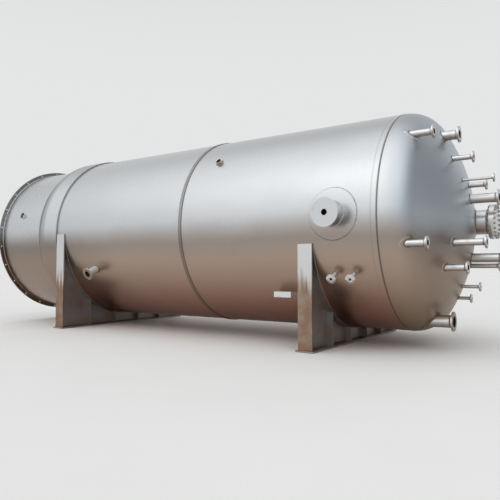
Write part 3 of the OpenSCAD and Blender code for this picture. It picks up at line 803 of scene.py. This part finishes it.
class VESSEL_OT_closures(bpy.types.Operator):
    """Adds the raised faces of the flanges and the manway's stud bolts"""
    bl_idname = "vessel.closures"
    bl_label = "Flange faces and manway bolts"

    def execute(self, context):
        sizes = context.scene.vessel_closure
        pipes = [head_pipe(node) for node in HEAD_NOZZLES if node != "manway_neck"]
        for node in ("gauge_nozzles", "side_nozzle"):
            pipes += shell_pipes(node, SHELL_PIPES[node])
        clean = [pipe for pipe in pipes if pipe.node not in GROUND_REFLECTION_FACES]
        # Faces with a painted reflection of the ground
        ground_reflecting = [pipe for pipe in pipes if pipe.node in GROUND_REFLECTION_FACES]
        self.face_rings("raised_flange_faces", "bright_plate", clean, sizes)
        self.face_rings("ground_reflection_flange_faces", "ground_reflection_plate", ground_reflecting, sizes)
        self.manway_bolts(sizes)
        return {"FINISHED"}

    def face_rings(self, name, material, pipes, sizes):
        """One piece of the raised faces of open flanges."""
        bm = bmesh.new()
        for pipe in pipes:
            outer = pipe.hole_edge - sizes.face_margin
            low, high = pipe.end - TINY, pipe.end + sizes.face_height
            profile = [(pipe.bore, low), (outer, low), (outer, high), (pipe.bore, high)]
            spin_ring(bm, profile, pipe.centre, pipe.way, FACE_STEPS)
        finish_piece(name, bm, material)

    def manway_bolts(self, sizes):
        """Studs through the manway's flange and cover, with a nut at each end."""
        neck = head_pipe("manway_neck")
        front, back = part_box("manway_cover")[1].x, neck.back
        holes = [r for r in neck.face if neck.bore + MANWAY_LIP < r < neck.rim - TINY]
        circle = (min(holes) + max(holes)) / 2
        nut_r = sizes.nut_across / math.sqrt(3)
        reach = sizes.nut_height + sizes.stud_end
        bm = bmesh.new()
        for i in range(sizes.manway_bolts):
            turn = (i + 0.5) * math.tau / sizes.manway_bolts
            spot = neck.centre + (ACROSS * math.cos(turn) + UP * math.sin(turn)) * circle
            self.rod(bm, spot, back - reach, front + reach, sizes.stud_r, STUD_SIDES)
            self.rod(bm, spot, back - sizes.nut_height, back, nut_r, NUT_SIDES)
            self.rod(bm, spot, front, front + sizes.nut_height, nut_r, NUT_SIDES)
        finish_piece("manway_bolts", bm, "stud_metal")

    def rod(self, bm, spot, first, last, radius, sides):
        """Bar along the vessel's axis with slightly chamfered ends."""
        made = bmesh.ops.create_cone(
            bm, cap_ends=True, segments=sides, radius1=radius, radius2=radius, depth=last - first)["verts"]
        middle = Vector(((first + last) / 2, spot.y, spot.z))
        place = Matrix.Translation(middle) @ Matrix.Rotation(math.pi / 2, 4, "Y")
        bmesh.ops.transform(bm, verts=made, matrix=place)
        caps = dict.fromkeys(f for v in made for f in v.link_faces if len(f.verts) == sides)
        rims = dict.fromkeys(e for f in caps for e in f.edges)
        bmesh.ops.bevel(bm, geom=list(rims), offset=radius * CHAMFER, affect="EDGES", segments=1,
                        profile=0.5, material=-1)


class VESSEL_OT_trunnion_welds(bpy.types.Operator):
    """Lays the welds of the lifting trunnions"""
    bl_idname = "vessel.trunnion_welds"
    bl_label = "Trunnion welds"

    def execute(self, context):
        weld = context.scene.vessel_weld
        low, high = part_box("trunnion_pipes")
        pad_low, pad_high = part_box("trunnion_pads")
        centre = trunnion().centre
        pipe_r, pad_r = (high.x - low.x) / 2, (pad_high.x - pad_low.x) / 2
        shell, pads = surface_of("front_shell_course"), surface_of("trunnion_pads")
        end_profile = fillet_profile(pipe_r, high.y, weld.plate_leg, -1)
        steps = even_steps(math.tau * pipe_r, weld.ripple_pitch)
        bm = bmesh.new()
        for way in (-ACROSS, ACROSS):
            foot_weld(bm, pads, centre, way, pipe_r, weld.plate_leg, weld)
            foot_weld(bm, shell, centre, way, pad_r, weld.plate_leg, weld)
            spin_ring(bm, end_profile, centre, way, steps, swell=weld.swell)
        finish_piece("trunnion_welds", bm, "brushed_weld")
        return {"FINISHED"}


class VESSEL_OT_saddle_welds(bpy.types.Operator):
    """Lays the welds of the saddles: along the cradles and at the feet of web and end plates"""
    bl_idname = "vessel.saddle_welds"
    bl_label = "Saddle welds"

    def execute(self, context):
        weld = context.scene.vessel_weld
        for saddle in SADDLES:
            bm = bmesh.new()
            self.cradle_edges(bm, saddle, weld)
            self.plate_feet(bm, saddle, weld.plate_leg)
            finish_piece(saddle + "_welds", bm, "weld_metal")
        return {"FINISHED"}

    def cradle_edges(self, bm, saddle, weld):
        """Fillets between the shell and the two curved edges of a cradle."""
        low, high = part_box(saddle + "_cradle")
        half = math.acos((AXIS_Z - high.z) / (AXIS_Z - low.z))
        start = Matrix.Rotation(-half, 3, AXIS) @ -UP
        steps = even_steps(2 * half * SHELL_R, 2 * weld.ripple_pitch)
        for at, way in ((low.x, -1), (high.x, 1)):
            profile = fillet_profile(SHELL_R, at, weld.plate_leg, way)
            spin_ring(bm, profile, ON_AXIS, AXIS, steps, start, 2 * half, weld.swell)

    def plate_feet(self, bm, saddle, leg):
        """Fillets where the end plates and the web stand on the base plate."""
        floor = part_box(saddle + "_base")[1].z
        low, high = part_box(saddle + "_end_plates")
        for edge, out in ((low.y, -ACROSS), (high.y, ACROSS)):
            straight_bead(bm, Vector((low.x, edge, floor)), Vector((high.x, edge, floor)), out, UP, leg)
        low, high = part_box(saddle + "_web")
        for edge, out in ((low.x, -AXIS), (high.x, AXIS)):
            straight_bead(bm, Vector((edge, low.y, floor)), Vector((edge, high.y, floor)), out, UP, leg)


class VESSEL_OT_stage(bpy.types.Operator):
    """Sets the floor, the soft light and the camera"""
    bl_idname = "vessel.stage"
    bl_label = "Stage"

    def execute(self, context):
        stage = context.scene.vessel_stage
        self.floor(context.scene, stage)
        self.surroundings(context.scene, stage)
        self.softbox(context.scene, stage)
        self.camera(context.scene, stage)
        context.scene.view_settings.view_transform = "Standard"
        return {"FINISHED"}

    def floor(self, scene, stage):
        """Wide pale floor with a faint cloud in its tone."""
        bm = bmesh.new()
        bmesh.ops.create_grid(bm, x_segments=1, y_segments=1, size=stage.floor_half)
        mesh = bpy.data.meshes.new("floor")
        bm.to_mesh(mesh)
        bm.free()
        f = Finish("pale_floor", metallic=0.0)
        cloud = f.noise(waves=(0.5, 0.5, 0.5))
        f.color(f.mix(f.fade(cloud, 0.3, 0.8, top=0.3), stage.floor, shaded(stage.floor, 0.93)))
        f.roughness(0.8)
        mesh.materials.append(f.material)
        floor = bpy.data.objects.new("floor", mesh)
        scene.collection.objects.link(floor)

    def surroundings(self, scene, stage):
        """Pale surroundings, brighter in front of the vessel and dimmer beyond its ends."""
        world = bpy.data.worlds.new("surroundings")
        scene.world = world
        world.use_nodes = True
        sky = NodeWriter(world.node_tree, "Generated")
        light = self.toward(sky, OVERHEAD, stage.horizon, stage.overhead)
        for side, share in ((HEAD_SIDE, stage.head_shade), (SKIRT_SIDE, stage.skirt_shade)):
            light = sky.math("MULTIPLY", light, self.toward(sky, side, 1.0, share))
        for side, added in ((GLOW_SIDE, stage.glow), (SPOT_SIDE, stage.hot_spot)):
            light = sky.math("ADD", light, self.toward(sky, side, 0.0, added))
        background = world.node_tree.nodes["Background"]
        background.inputs["Color"].default_value = SKY_TINT
        sky.feed(background.inputs["Strength"], light)

    def toward(self, sky, side, low, high):
        """Brightness that goes from low to high as a direction turns towards a side."""
        way, span = side
        return sky.ramp(sky.dot(Vector(way).normalized()), span, (low, high))

    def softbox(self, scene, stage):
        """Large weak lamp that is aimed at the front seam."""
        light = bpy.data.lights.new("softbox", "AREA")
        light.shape = "RECTANGLE"
        light.size, light.size_y = stage.key_size
        light.energy = stage.key_power
        lamp = bpy.data.objects.new("softbox", light)
        lamp.location = SEAM_CENTRE + Vector(stage.key_place)
        aim = SEAM_CENTRE - lamp.location
        lamp.rotation_euler = aim.to_track_quat("-Z", "Y").to_euler()
        scene.collection.objects.link(lamp)

    def camera(self, scene, stage):
        """Camera at the viewing angle that the settings give."""
        data = bpy.data.cameras.new("camera")
        data.sensor_fit = "HORIZONTAL"
        data.sensor_width = SENSOR_WIDTH
        data.lens = stage.lens
        data.shift_x, data.shift_y = stage.shift
        data.clip_end = VIEW_REACH
        camera = bpy.data.objects.new("camera", data)
        level = math.cos(stage.pitch)
        look = Vector((-math.sin(stage.yaw) * level, math.cos(stage.yaw) * level, math.sin(stage.pitch)))
        camera.rotation_euler = look.to_track_quat("-Z", "Y").to_euler()
        camera.location = SEAM_CENTRE + Vector(stage.eye)
        scene.collection.objects.link(camera)
        scene.camera = camera


class VESSEL_PT_sidebar(bpy.types.Panel):
    """Lists the steps that finish the vessel"""
    bl_idname = "VESSEL_PT_sidebar"
    bl_label = "Vessel"
    bl_space_type = "VIEW_3D"
    bl_region_type = "UI"
    bl_category = "Vessel"

    def draw(self, context):
        for step in STEPS:
            self.layout.operator(step.bl_idname)


SETTINGS = {
    "vessel_finish": FinishSettings, "vessel_weld": WeldSettings, "vessel_closure": ClosureSettings,
    "vessel_stage": StageSettings,
}
STEPS = [
    VESSEL_OT_finishes, VESSEL_OT_seam_beads, VESSEL_OT_nozzle_welds, VESSEL_OT_closures,
    VESSEL_OT_trunnion_welds, VESSEL_OT_saddle_welds, VESSEL_OT_stage,
]
CLASSES = [*SETTINGS.values(), *STEPS, VESSEL_PT_sidebar]


def register():
    """Registers the classes and hangs the settings on the scene."""
    for cls in CLASSES:
        bpy.utils.register_class(cls)
    for name, group in SETTINGS.items():
        setattr(bpy.types.Scene, name, PointerProperty(type=group))


def unregister():
    """Takes the settings and the classes away again."""
    for name in SETTINGS:
        delattr(bpy.types.Scene, name)
    for cls in reversed(CLASSES):
        bpy.utils.unregister_class(cls)


def main():
    """Runs every step."""
    register()
    bpy.ops.vessel.finishes()
    bpy.ops.vessel.seam_beads()
    bpy.ops.vessel.nozzle_welds()
    bpy.ops.vessel.closures()
    bpy.ops.vessel.trunnion_welds()
    bpy.ops.vessel.saddle_welds()
    bpy.ops.vessel.stage()


if __name__ == "__main__":
    main()
